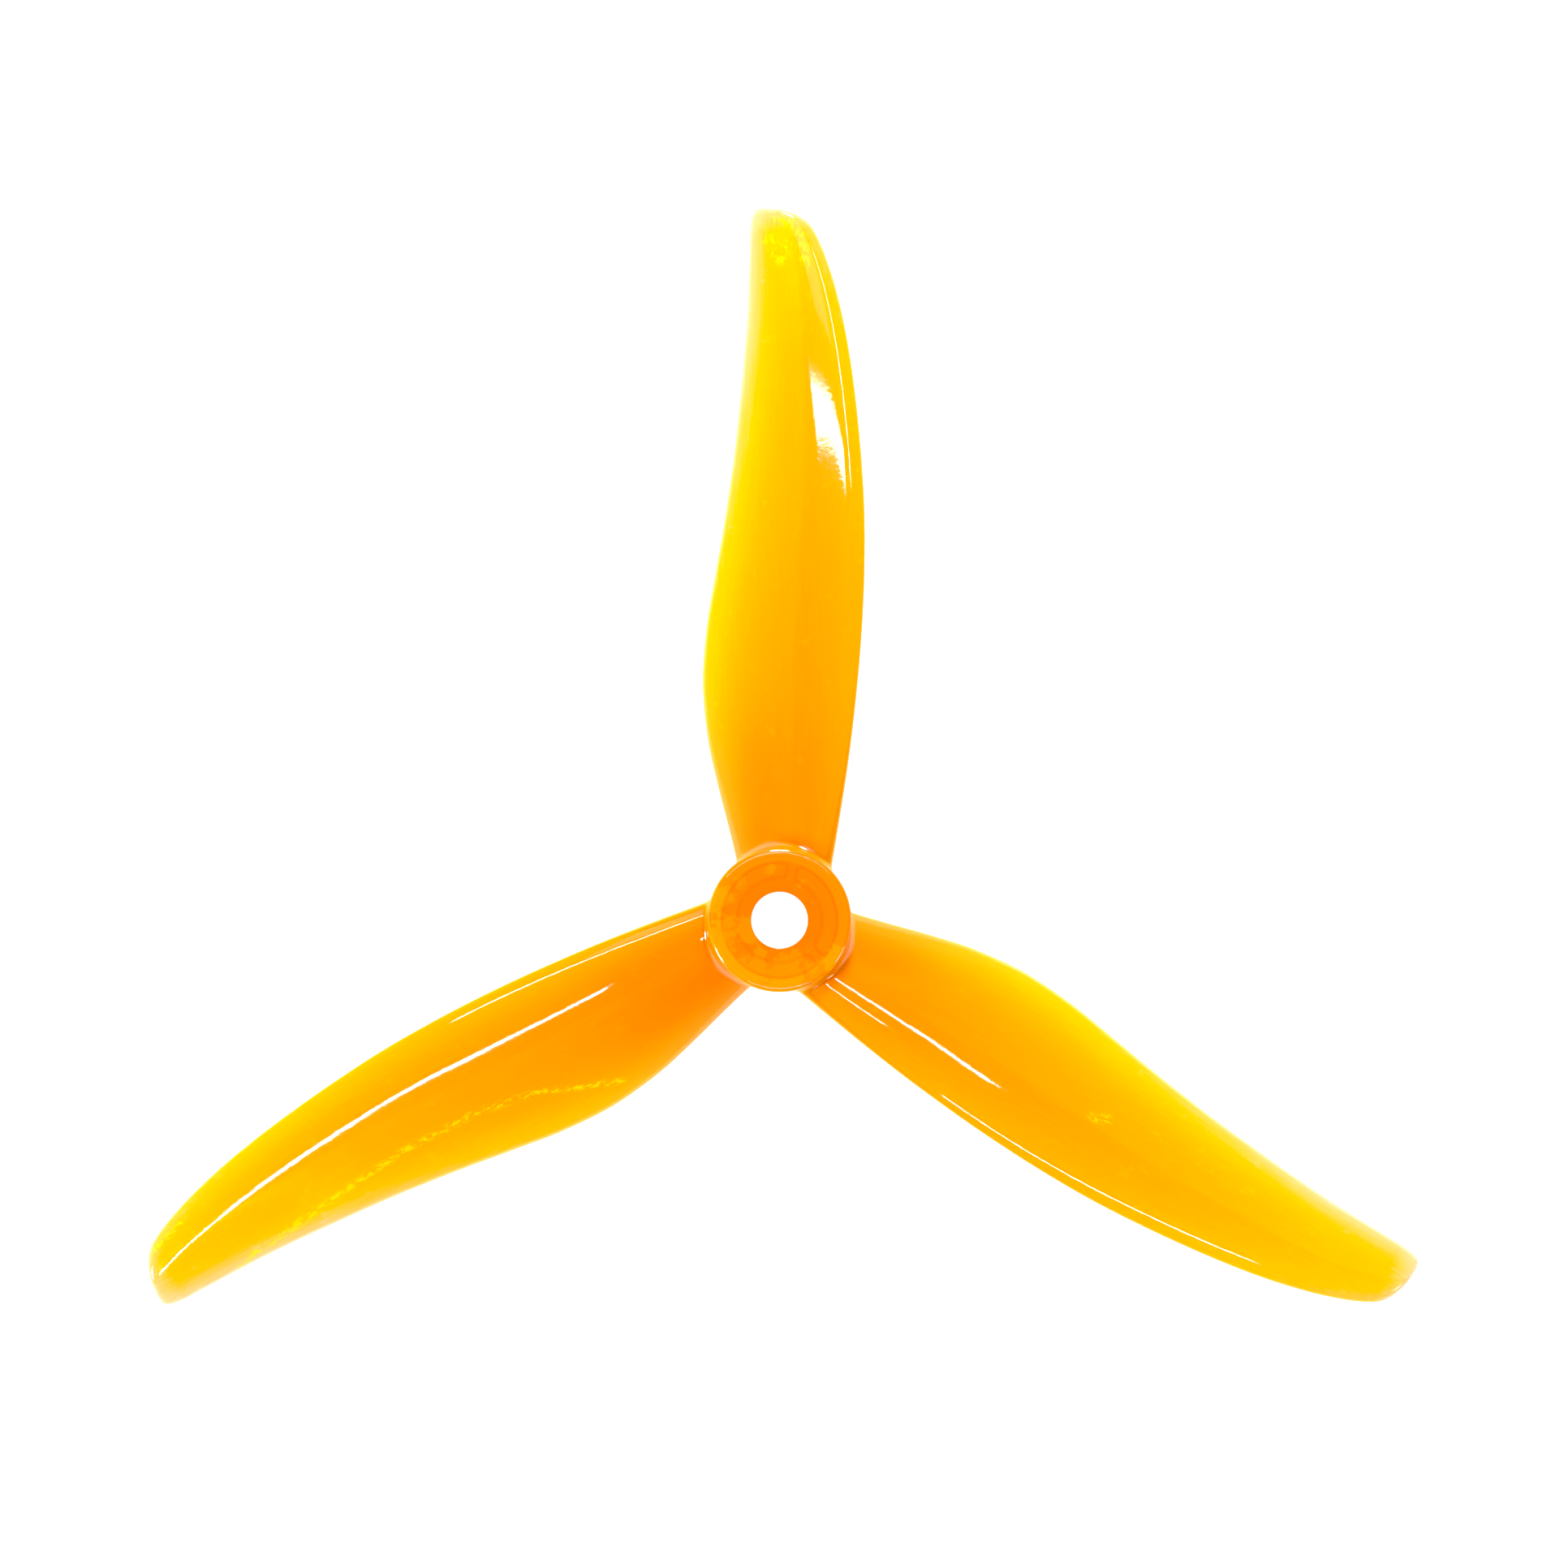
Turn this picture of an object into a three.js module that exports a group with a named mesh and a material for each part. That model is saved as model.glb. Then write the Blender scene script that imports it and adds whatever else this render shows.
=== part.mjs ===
// A three-blade quadcopter propeller of the 5.1 inch class, moulded in clear amber polycarbonate.
// Millimetres, +Z up along the spin axis, blade_1 along +Y. Seen from above it turns clockwise,
// so each blade's leading edge is on the +X side of its own axis and stands higher than its
// trailing edge. The origin is on the spin axis, halfway up the hub.
//
// The real propeller is one moulding. Here each of its functional regions is a solid of its own,
// a small gap away from its neighbours: the hub shell, the shaft boss, the hub's ribs and the blades.
import * as THREE from "three";

// Hub
const HUB_RADIUS = 6.35;
const HUB_HEIGHT = 7.4;
const HUB_TOP_EDGE = 0.35; // rounding where the hub's side meets its top
const HUB_BOTTOM_EDGE = 0.15;
const BORE_RADIUS = 2.5; // for an M5 motor shaft
const BORE_LEAD_IN = 0.2;
const BOSS_RADIUS = 3.7;
const POCKET_RADIUS = 5.2; // inner face of the hub's outer wall, under the deck
const DECK_THICKNESS = 2.4;
const RIB_COUNT = 3;
const RIB_THICKNESS = 0.7;
const RIB_AZIMUTH = THREE.MathUtils.degToRad(76);
const HUB_SEGMENTS = 96;
const EDGE_STEPS = 4;

// Blades
const BLADE_COUNT = 3;
const ROOT_FILLET = 0.8;
const FILLET_ROWS = 4;
const SPAN_ROWS = 28;
const CHORD_STEPS = 16; // from trailing edge to leading edge, on each face
const TRAILING_HALF_THICKNESS = 0.24;
const CAMBER_POSITION = 0.45; // share of the chord behind the nose
const MOST_THICKNESS = 0.2; // share of the chord, which thins the blade out over its last few millimetres
const MOST_TRAILING = 0.06; // the same for half the trailing edge
const SEAM_GAP = 0.3; // between neighbouring regions of the moulding

const HUB_TOP = HUB_HEIGHT / 2;
const HUB_BOTTOM = -HUB_HEIGHT / 2;
const DECK_UNDERSIDE = HUB_TOP - DECK_THICKNESS;

// The planform of blade_1, looking down: (x, y) points from the hub outwards, both edges ending
// at the blade's farthest point. The convex leading edge sweeps back to a clipped, raked tip.
const APEX = [-1.2, 64.82];
const LEADING_EDGE = [
  [4.3, 3],
  [5.15, 8],
  [5.95, 13],
  [6.61, 18],
  [7.2, 24],
  [7.54, 30],
  [7.6, 36],
  [7.29, 42],
  [6.71, 48],
  [5.97, 53],
  [5.09, 57],
  [4.18, 60],
  [3.36, 62],
  [2.64, 63.2],
  [1.66, 64],
  [0.42, 64.52],
  APEX,
];
const TRAILING_EDGE = [
  [-3.3, 3],
  [-4.5, 8],
  [-5.54, 12],
  [-6.45, 16],
  [-6.93, 20],
  [-6.97, 23],
  [-6.61, 27],
  [-5.94, 31],
  [-5.07, 36],
  [-4.19, 42],
  [-3.55, 48],
  [-3.04, 54],
  [-2.78, 60],
  [-2.7, 63],
  [-2.5, 64.2],
  [-2.12, 64.72],
  APEX,
];

// Down the span: y, blade angle in degrees, greatest thickness, camber as a share of the chord,
// and how far the chord line passes above the hub's middle at the blade's axis.
const SECTIONS = [
  [3, 28, 1.9, 0.03, -0.4],
  [8, 28.2, 2, 0.035, -0.35],
  [14, 27.6, 1.95, 0.045, -0.25],
  [20, 26, 1.8, 0.052, -0.15],
  [30, 23.8, 1.6, 0.056, -0.25],
  [40, 21.3, 1.4, 0.056, -0.45],
  [50, 18.5, 1.2, 0.052, -0.6],
  [58, 15.5, 1, 0.046, -0.7],
  [64.82, 12, 0.8, 0.04, -0.75],
];

// One smooth curve through a list of (x, y) points, read as x at a height y.
function edgeReader(points) {
  const curve = new THREE.SplineCurve(points.map((p) => new THREE.Vector2(...p)));
  const fine = curve.getPoints(40 * points.length);
  return (y) => {
    const k = THREE.MathUtils.clamp(
      fine.findIndex((p) => p.y >= y),
      1,
      fine.length - 1,
    );
    const a = fine[k - 1];
    const b = fine[k];
    const t = THREE.MathUtils.clamp((y - a.y) / (b.y - a.y), 0, 1);
    return THREE.MathUtils.lerp(a.x, b.x, t);
  };
}

const leadingX = edgeReader(LEADING_EDGE);
const trailingX = edgeReader(TRAILING_EDGE);

// The values of SECTIONS at a height y, along smooth curves.
const sectionReaders = [1, 2, 3, 4].map((column) =>
  edgeReader(SECTIONS.map((row) => [row[column], row[0]])),
);

function sectionAt(y) {
  const [angle, thickness, camber, lift] = sectionReaders.map((read) => read(y));
  const lead = leadingX(y);
  const trail = trailingX(y);
  const pitch = THREE.MathUtils.degToRad(angle);
  return { lead, pitch, camber, lift, thickness, chord: (lead - trail) / Math.cos(pitch) };
}

// Half the thickness at a share v of the chord behind the nose: a rounded nose, fullest near a
// third of the chord, and a thin trailing edge with a rounded end.
function halfThickness(section, v) {
  const { chord, thickness } = section;
  if (chord < 1e-6) return 0;
  const fullest = Math.min(thickness, MOST_THICKNESS * chord);
  const foil =
    2.969 * Math.sqrt(v) - 1.26 * v - 3.516 * v ** 2 + 2.843 * v ** 3 - 1.036 * v ** 4;
  const edge = Math.min(TRAILING_HALF_THICKNESS, MOST_TRAILING * chord);
  const roundFrom = 1 - (2 * edge) / chord;
  const past = Math.max(0, (v - roundFrom) / (1 - roundFrom));
  return (fullest / 2) * foil + edge * v * Math.sqrt(Math.max(0, 1 - past ** 2));
}

// The camber line's height above the chord at v.
function camberHeight(section, v) {
  const p = CAMBER_POSITION;
  const rise = v < p ? (2 * p * v - v * v) / p ** 2 : (1 - 2 * p + 2 * p * v - v * v) / (1 - p) ** 2;
  return section.camber * section.chord * rise;
}

// A point of blade_1's skin. side is 1 on the upper face and -1 on the lower face.
function skinPoint(y, v, side) {
  const s = sectionAt(y);
  const along = v * s.chord;
  const up = camberHeight(s, v) + side * halfThickness(s, v);
  const c = Math.cos(s.pitch);
  const n = Math.sin(s.pitch);
  return new THREE.Vector3(
    s.lead - along * c - up * n,
    y,
    s.lead * Math.tan(s.pitch) + s.lift - along * n + up * c,
  );
}

// Around a section: the trailing edge, the upper face, the nose, then the lower face.
const LOOP = [];
for (let i = 0; i < 2 * CHORD_STEPS; i++) {
  const turn = (Math.PI * i) / CHORD_STEPS;
  LOOP.push({ v: 0.5 * (1 + Math.cos(turn)), side: i <= CHORD_STEPS ? 1 : -1 });
}

const planRadius = (p) => Math.hypot(p.x, p.y);

// The height y at which one line of the skin is at a given distance from the spin axis.
function heightAtRadius(radius, { v, side }) {
  let low = 0.5;
  let high = radius;
  for (let step = 0; step < 40; step++) {
    const middle = (low + high) / 2;
    if (planRadius(skinPoint(middle, v, side)) < radius) low = middle;
    else high = middle;
  }
  return (low + high) / 2;
}

// The section's outward direction at a loop place, turned to lie along the hub's wall.
function alongWall(y, i) {
  const n = LOOP.length;
  const before = LOOP[(i + n - 1) % n];
  const after = LOOP[(i + 1) % n];
  const run = skinPoint(y, after.v, after.side).sub(skinPoint(y, before.v, before.side));
  const out = new THREE.Vector3(-run.z, 0, run.x);
  const here = skinPoint(y, LOOP[i].v, LOOP[i].side);
  const radial = new THREE.Vector3(here.x, here.y, 0).normalize();
  return out.addScaledVector(radial, -out.dot(radial)).normalize();
}

// The skin's rows from the hub's wall to the apex. The first rows flare into the fillet.
function bladeRows() {
  const wall = HUB_RADIUS + SEAM_GAP;
  const rows = [];
  for (let k = 0; k < FILLET_ROWS; k++) {
    const turn = (Math.PI / 2) * (k / FILLET_ROWS);
    const radius = wall + ROOT_FILLET * (1 - Math.cos(turn));
    const flare = ROOT_FILLET * (1 - Math.sin(turn));
    rows.push(
      LOOP.map((place, i) => {
        const y = heightAtRadius(radius, place);
        const p = skinPoint(y, place.v, place.side).addScaledVector(alongWall(y, i), flare);
        const scale = radius / planRadius(p);
        return p.set(p.x * scale, p.y * scale, p.z);
      }),
    );
  }
  const starts = LOOP.map((place) => heightAtRadius(wall + ROOT_FILLET, place));
  for (let k = 0; k < SPAN_ROWS; k++) {
    const share = Math.sin((Math.PI / 2) * (k / SPAN_ROWS));
    rows.push(
      LOOP.map((place, i) =>
        skinPoint(THREE.MathUtils.lerp(starts[i], APEX[1], share), place.v, place.side),
      ),
    );
  }
  return rows;
}

// A closed skin over rows of points, capped across its first row and drawn in to one last point.
function closedSkin(rows, last) {
  const n = LOOP.length;
  const positions = rows.flat().concat(last).flatMap((p) => [p.x, p.y, p.z]);
  const faces = [];
  for (let k = 0; k + 1 < rows.length; k++) {
    for (let i = 0; i < n; i++) {
      const a = k * n + i;
      const b = k * n + ((i + 1) % n);
      faces.push(a, b, a + n, b, b + n, a + n);
    }
  }
  const base = (rows.length - 1) * n;
  for (let i = 0; i < n; i++) faces.push(base + i, base + ((i + 1) % n), rows.length * n);
  const lower = (i) => (n - i) % n;
  for (let i = 0; i < CHORD_STEPS; i++) {
    if (i > 0) faces.push(i, lower(i), i + 1);
    if (i + 1 < CHORD_STEPS) faces.push(i + 1, lower(i), lower(i + 1));
  }
  const geometry = new THREE.BufferGeometry();
  geometry.setAttribute("position", new THREE.Float32BufferAttribute(positions, 3));
  geometry.setIndex(faces);
  return geometry;
}

// A ring turned from a closed profile of (radius, height) points, listed anticlockwise.
function turned(profile) {
  const points = profile.concat([profile[0]]).map(([r, z]) => new THREE.Vector2(r, z));
  const geometry = new THREE.LatheGeometry(points, HUB_SEGMENTS);
  return geometry.rotateX(Math.PI / 2);
}

// A quarter-round from one direction to the next, about a centre.
function roundEdge(r, z, radius, fromDegrees) {
  const points = [];
  for (let k = 0; k <= EDGE_STEPS; k++) {
    const a = THREE.MathUtils.degToRad(fromDegrees + (90 * k) / EDGE_STEPS);
    points.push([r + radius * Math.cos(a), z + radius * Math.sin(a)]);
  }
  return points;
}

// The deck with its bore, and the outer wall that hangs from it.
function hubShell() {
  return turned([
    [BORE_RADIUS, DECK_UNDERSIDE],
    [POCKET_RADIUS, DECK_UNDERSIDE],
    [POCKET_RADIUS, HUB_BOTTOM],
    ...roundEdge(HUB_RADIUS - HUB_BOTTOM_EDGE, HUB_BOTTOM + HUB_BOTTOM_EDGE, HUB_BOTTOM_EDGE, -90),
    ...roundEdge(HUB_RADIUS - HUB_TOP_EDGE, HUB_TOP - HUB_TOP_EDGE, HUB_TOP_EDGE, 0),
    [BORE_RADIUS + BORE_LEAD_IN, HUB_TOP],
    [BORE_RADIUS, HUB_TOP - BORE_LEAD_IN],
  ]);
}

// The sleeve under the deck that grips the motor's shaft.
function shaftBoss() {
  const top = DECK_UNDERSIDE - SEAM_GAP;
  return turned([
    [BORE_RADIUS, HUB_BOTTOM + BORE_LEAD_IN],
    [BORE_RADIUS + BORE_LEAD_IN, HUB_BOTTOM],
    [BOSS_RADIUS, HUB_BOTTOM],
    [BOSS_RADIUS, top],
    [BORE_RADIUS, top],
  ]);
}

// A rib that joins the boss to the outer wall, in the pocket under the deck.
function hubRib() {
  const inner = BOSS_RADIUS + SEAM_GAP;
  const outer = POCKET_RADIUS - SEAM_GAP;
  const innerTurn = Math.asin(RIB_THICKNESS / 2 / inner);
  const outerTurn = Math.asin(RIB_THICKNESS / 2 / outer);
  const outline = new THREE.Shape();
  outline.absarc(0, 0, outer, -outerTurn, outerTurn, false);
  outline.absarc(0, 0, inner, innerTurn, -innerTurn, true);
  const geometry = new THREE.ExtrudeGeometry(outline, {
    depth: HUB_HEIGHT - DECK_THICKNESS - SEAM_GAP,
    bevelEnabled: false,
    curveSegments: 4,
  });
  return geometry.translate(0, 0, HUB_BOTTOM);
}

const amber = () => new THREE.MeshStandardMaterial({ color: 0xffa800, roughness: 0.15, metalness: 0 });

function named(name, geometry, turn = 0) {
  const mesh = new THREE.Mesh(geometry, amber());
  mesh.name = name;
  mesh.rotation.z = turn;
  return mesh;
}

const propeller = new THREE.Group();
propeller.add(named("hub_shell", hubShell()));
propeller.add(named("shaft_boss", shaftBoss()));
for (let k = 0; k < RIB_COUNT; k++) {
  propeller.add(named(`hub_rib_${k + 1}`, hubRib(), RIB_AZIMUTH + (2 * Math.PI * k) / RIB_COUNT));
}
for (let k = 0; k < BLADE_COUNT; k++) {
  const skin = closedSkin(bladeRows(), skinPoint(APEX[1], 0.5, 1));
  propeller.add(named(`blade_${k + 1}`, skin, (2 * Math.PI * k) / BLADE_COUNT));
}

export default propeller;
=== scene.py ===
"""Looks of a three-blade quadcopter propeller, moulded in clear amber polycarbonate.

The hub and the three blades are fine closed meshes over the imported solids. They meet face to face on
the hub's wall, and those faces are clear, so that the four read as the one moulding that they are.
Lengths are in millimetres until a mesh is written.
"""

import math

import bpy
import numpy as np
from mathutils import Matrix, Vector
from mathutils.geometry import delaunay_2d_cdt


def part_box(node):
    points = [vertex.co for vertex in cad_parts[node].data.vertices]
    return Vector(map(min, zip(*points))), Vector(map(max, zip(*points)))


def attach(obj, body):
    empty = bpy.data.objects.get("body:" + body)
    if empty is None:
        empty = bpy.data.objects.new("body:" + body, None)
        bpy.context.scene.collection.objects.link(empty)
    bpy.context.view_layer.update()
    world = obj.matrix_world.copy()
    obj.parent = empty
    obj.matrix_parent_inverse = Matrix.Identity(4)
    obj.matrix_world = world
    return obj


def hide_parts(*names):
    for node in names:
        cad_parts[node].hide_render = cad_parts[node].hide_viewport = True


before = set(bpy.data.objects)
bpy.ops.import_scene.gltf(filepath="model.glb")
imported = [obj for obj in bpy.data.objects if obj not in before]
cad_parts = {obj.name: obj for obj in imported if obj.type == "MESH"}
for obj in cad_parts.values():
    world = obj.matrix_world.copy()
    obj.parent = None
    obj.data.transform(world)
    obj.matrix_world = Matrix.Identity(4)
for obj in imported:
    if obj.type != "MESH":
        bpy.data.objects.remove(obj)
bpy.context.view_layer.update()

MM = 0.001

# ---------------------------------------------------------------------------------------------
# Sizes

SEAM_GAP = 0.3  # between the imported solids, closed up here
HUB_LOW, HUB_HIGH = (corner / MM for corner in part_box("hub_shell"))
_, BOSS_HIGH = (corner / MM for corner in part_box("shaft_boss"))
_, BLADE_HIGH = (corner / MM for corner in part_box("blade_1"))

HUB_RADIUS = HUB_HIGH.x
HUB_TOP = HUB_HIGH.z
HUB_BOTTOM = HUB_LOW.z
BOSS_RADIUS = BOSS_HIGH.x
DECK_UNDERSIDE = BOSS_HIGH.z + SEAM_GAP
BORE_RADIUS = 2.5
BORE_LEAD_IN = 0.04  # less than the solids have, so that the bore doesn't look wider
POCKET_RADIUS = 5.2
RIB_COUNT = 3
RIB_THICKNESS = 0.7
RIB_AZIMUTH = math.radians(76)
TOP_ROUND = 0.35  # the deck's rim, downwards
TOP_REACH = 0.55  # and inwards
BOTTOM_ROUND = 0.15
POCKET_CORNER = 0.4
POCKET_FLOOR_ROUND = 0.25
POCKET_LIP = 0.08

BLADE_COUNT = 3
NOSE_ROOT_DEPTH = 0.12  # how much deeper the root looks ahead
TRAILING_ROOT_DEPTH = 0.95  # and behind
ROOT_REACH = 10
FORE_TO_AFT_DEPTH_AND_SHADE = 0.12  # less plastic a quarter of the chord back, more at three quarters; partly painted shade, darker towards the trailing edge
EDGE_DEPTH = 0.45  # the edges look deeper than they are, and less so towards the tip
EDGE_SHARE = 0.1  # of the chord
EDGE_FADE = 60
NOSE_LINE_DEPTH = 0.6  # a thin darker line along the nose
NOSE_LINE_SHARE = 0.03
TIP_THINNING = 0.5  # how much of the depth the tip's slanted end takes off
TIP_FROM = 62.4
TRAILING_THINNING = 0.18  # in millimetres, along the outer part of the trailing edge
TRAILING_THIN_FROM, TRAILING_THIN_TO = 35, 55
ROOT_FILLET = 0.5  # at the blade's two edges
UPPER_FILLET_MORE = 5.5  # how it grows towards the middle of each face
LOWER_FILLET_MORE = 2.5
# (x, y) along a faint ridge moulded in the upper face.
CREST = [(1.9, 8), (2.1, 24), (2.5, 32), (2.75, 42), (2.3, 54), (0.9, 62), (-1.5, 66)]
CREST_TILT = math.radians(2.2)  # how far the upper face turns down ahead of it
CREST_ROUND = 0.12
CREST_FADES = [(18, 28), (57, 63)]
CREST_PAINTED_SHADE = 0.15  # painted shade: how much deeper the plastic is made to look ahead of it, where that face gets less light
DROOP_REACH = 2.6  # the upper face rolls down over the nose, from this far behind it
DROOP_SHARE = 0.18  # or a share of the chord where that is less
DROOP_SLOPE = math.tan(math.radians(18))
TRAILING_HALF_THICKNESS = 0.24
CAMBER_POSITION = 0.45
MOST_THICKNESS = 0.2  # as a share of the chord
MOST_TRAILING = 0.06
TIP_DEPTH = 0.2
ROOT_DEPTH = 3  # over the faces where the blade and the hub meet
WALL_DEPTH = 3
POCKET_DEPTH = 3.3
HUB_BASE_DEPTH = 3.6
# Radius, and how deep the hub looks there. The outer ring is made lighter, painted light standing in
# for light that enters the wall from the sides. The pocket's and the boss's outlines show through the
# deck as faint circles.
DECK_DEPTHS_AND_LIGHT = [
    (2.5, 3.5),
    (3.55, 3.4),
    (3.62, 3.9),
    (3.69, 2.7),
    (3.76, 3.3),
    (5.1, 3.2),
    (5.3, 2.65),
    (5.58, 2.6),
    (5.64, 3),
    (5.7, 2.6),
    (6.35, 2.3),
]

APEX = (-1.2, BLADE_HIGH.y)
LEADING_EDGE = [
    (4.3, 3),
    (5.15, 8),
    (5.95, 13),
    (6.61, 18),
    (7.2, 24),
    (7.54, 30),
    (7.6, 36),
    (7.29, 42),
    (6.71, 48),
    (5.97, 53),
    (5.09, 57),
    (4.18, 60),
    (3.36, 62),
    (2.64, 63.2),
    (1.66, 64),
    (0.42, 64.52),
    APEX,
]
TRAILING_EDGE = [
    (-3.3, 3),
    (-4.5, 8),
    (-5.54, 12),
    (-6.45, 16),
    (-6.93, 20),
    (-6.97, 23),
    (-6.61, 27),
    (-5.94, 31),
    (-5.07, 36),
    (-4.19, 42),
    (-3.55, 48),
    (-3.04, 54),
    (-2.78, 60),
    (-2.7, 63),
    (-2.5, 64.2),
    (-2.12, 64.72),
    APEX,
]
# y, blade angle in degrees, greatest thickness, camber as a share of the chord, and the chord
# line's height above the hub's middle at the blade's axis.
SECTIONS = [
    (3, 28, 1.9, 0.03, -0.4),
    (8, 28.2, 2, 0.035, -0.35),
    (14, 27.6, 1.95, 0.045, -0.25),
    (20, 26, 1.8, 0.052, -0.15),
    (30, 23.8, 1.6, 0.056, -0.25),
    (40, 21.3, 1.4, 0.056, -0.45),
    (50, 18.5, 1.2, 0.052, -0.6),
    (58, 15.5, 1, 0.046, -0.7),
    (APEX[1], 12, 0.8, 0.04, -0.75),
]

# Painted reflections, bright yellow lines that stand in for light caught inside the plastic: which
# blade, how wide, and (x, y) along the mark.
PAINTED_REFLECTIONS = [
    (0, 0.55, [(-0.9, 61.6), (0.1, 59.8), (0.6, 61)]),
    (0, 0.45, [(-0.2, 63.3), (1.2, 63.1), (2.1, 61.6), (2.3, 59)]),
    (1, 0.35, [(-2.5, 57), (-2.2, 54.5), (-1.9, 50)]),
    (1, 0.22, [(-1.9, 50), (-1.5, 46), (-1, 39), (-1.3, 32), (-2.4, 26.6), (-4.3, 22.2)]),
    (1, 0.25, [(-4.3, 22.2), (-5.4, 19.4)]),
    (1, 0.2, [(2.3, 63.2), (3.3, 59.4)]),
    (2, 0.3, [(0.7, 34), (1.3, 32.6)]),
]

FLOOR_SIZE = 4000
FLOOR_GAP = 0.05
BLACK_LEVEL = 0.03
SOFT_BOX_SIZE = 150
SOFT_BOX_REACH = 606
SOFT_BOX_HEIGHT = 350
SOFT_BOX_STRENGTHS = {90: 64, -30: 9, 210: 40}  # by bearing

# Mesh density
RING_STEPS = 240
ROUND_STEPS = 6
CHORD_STEPS = 72
SPAN_ROWS = 190
FILLET_ROWS = 10
WALL_SPACING = 0.3
SPLINE_STEPS = 40
BORE_ROWS = 20


# ---------------------------------------------------------------------------------------------
# The blade's surface


def spline(points):
    """A smooth curve through points, as a fine polyline."""
    p = np.array(points, float)
    before = np.vstack([p[:1], p[:-2]])
    after = np.vstack([p[2:], p[-1:]])
    v0 = (p[1:] - before) / 2
    v1 = (after - p[:-1]) / 2
    w = np.linspace(0, 1, SPLINE_STEPS, endpoint=False)[:, None, None]
    a, b = p[:-1], p[1:]
    fine = (2 * a - 2 * b + v0 + v1) * w**3 + (3 * b - 3 * a - 2 * v0 - v1) * w**2 + v0 * w + a
    return np.vstack([fine.transpose(1, 0, 2).reshape(-1, 2), p[-1:]])


def edge_reader(points):
    """x at a height y, along a smooth curve through (x, y) points."""
    line = spline(points)
    return lambda y: np.interp(y, line[:, 1], line[:, 0])


leading_x = edge_reader(LEADING_EDGE)
trailing_x = edge_reader(TRAILING_EDGE)
crest_x = edge_reader(CREST)
section_readers = [edge_reader([(row[k], row[0]) for row in SECTIONS]) for k in (1, 2, 3, 4)]


def thickness_at(y, v):
    """The blade's thickness at height y, a share v of the chord behind the nose."""
    pitch, greatest = np.radians(section_readers[0](y)), section_readers[1](y)
    chord = np.maximum((leading_x(y) - trailing_x(y)) / np.cos(pitch), 1e-9)
    foil = 2.969 * np.sqrt(v) - 1.26 * v - 3.516 * v**2 + 2.843 * v**3 - 1.036 * v**4
    edge = np.minimum(TRAILING_HALF_THICKNESS, MOST_TRAILING * chord)
    round_from = 1 - 2 * edge / chord
    past = np.clip((v - round_from) / (1 - round_from), 0, 1)
    return np.minimum(greatest, MOST_THICKNESS * chord) * foil + 2 * edge * v * np.sqrt(1 - past**2)


def depth_and_painted_light_at(y, v):
    """How deep the plastic looks straight down. It flares over the root, and more so behind."""
    depth = thickness_at(y, v) / np.cos(np.radians(section_readers[0](y)))
    # Partly painted shade: lighter towards the nose, darker towards the trailing edge.
    depth = depth - FORE_TO_AFT_DEPTH_AND_SHADE * np.sin(2 * np.pi * v)
    edges = np.exp(-v / EDGE_SHARE) + np.exp(-(1 - v) / EDGE_SHARE)
    depth = depth + EDGE_DEPTH * edges * np.clip(2 - 2 * y / EDGE_FADE, 0.2, 1)
    width = leading_x(y) - trailing_x(y)
    ahead_of_crest = leading_x(y) - v * width - crest_x(y)
    # Painted shade: the face ahead of the crest is made darker, as less light falls on it.
    depth = depth + CREST_PAINTED_SHADE * np.clip(ahead_of_crest / CREST_ROUND, 0, 1)
    depth = depth + NOSE_LINE_DEPTH * np.exp(-v / NOSE_LINE_SHARE)
    outer = np.clip((y - TRAILING_THIN_FROM) / (TRAILING_THIN_TO - TRAILING_THIN_FROM), 0, 1)
    depth = depth - TRAILING_THINNING * outer * np.exp(-(1 - v) / (2 * EDGE_SHARE))
    depth = depth * (1 - TIP_THINNING * np.clip((y - TIP_FROM) / (APEX[1] - TIP_FROM), 0, 1))
    ahead = NOSE_ROOT_DEPTH * np.clip(1 - 2 * v, 0, 1) ** 2
    share = np.clip((v - 0.25) / 0.45, 0, 1)
    behind = TRAILING_ROOT_DEPTH * share**2 * (3 - 2 * share)
    return depth + np.exp(-(((y - HUB_RADIUS) / ROOT_REACH) ** 2)) * (ahead + behind)


def crest_dip(y, crest, along):
    """How far the upper face dips between its faint crest and the nose, both behind the nose."""
    crest = np.maximum(crest, CREST_ROUND)
    ahead = crest - along
    rounded = (ahead + np.hypot(ahead, CREST_ROUND)) / 2
    shape = rounded * (1 - np.clip(ahead / crest, 0, 1)) ** 2
    start, end = (np.clip((y - low) / (high - low), 0, 1) for low, high in CREST_FADES)
    return math.tan(CREST_TILT) * shape * start * (1 - end)


def droop(reach, along):
    """How far the section's middle line bends down towards its nose."""
    return DROOP_SLOPE * reach / 2 * np.clip(1 - along / reach, 0, 1) ** 2


def skin_points(y, v, side):
    """Points on blade_1's skin. side is 1 on the upper face and -1 on the lower face."""
    pitch, _, camber, lift = (read(y) for read in section_readers)
    pitch = np.radians(pitch)
    width = leading_x(y) - trailing_x(y)
    reach = np.maximum(np.minimum(DROOP_REACH, DROOP_SHARE * width), 1e-6)
    lead = leading_x(y) - droop(reach, 0) * np.sin(pitch)
    chord = (lead - trailing_x(y)) / np.cos(pitch)
    p = CAMBER_POSITION
    fore = (2 * p * v - v * v) / p**2
    aft = (1 - 2 * p + 2 * p * v - v * v) / (1 - p) ** 2
    up = camber * chord * np.where(v < p, fore, aft) + side * thickness_at(y, v) / 2
    along = v * chord
    up = up - np.where(side > 0, crest_dip(y, (lead - crest_x(y)) / np.cos(pitch), along), 0)
    up = up - droop(reach, along)
    x = lead - along * np.cos(pitch) - up * np.sin(pitch)
    z = lead * np.tan(pitch) + lift - along * np.sin(pitch) + up * np.cos(pitch)
    return np.stack([x, y + 0 * v, z], -1)


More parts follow.
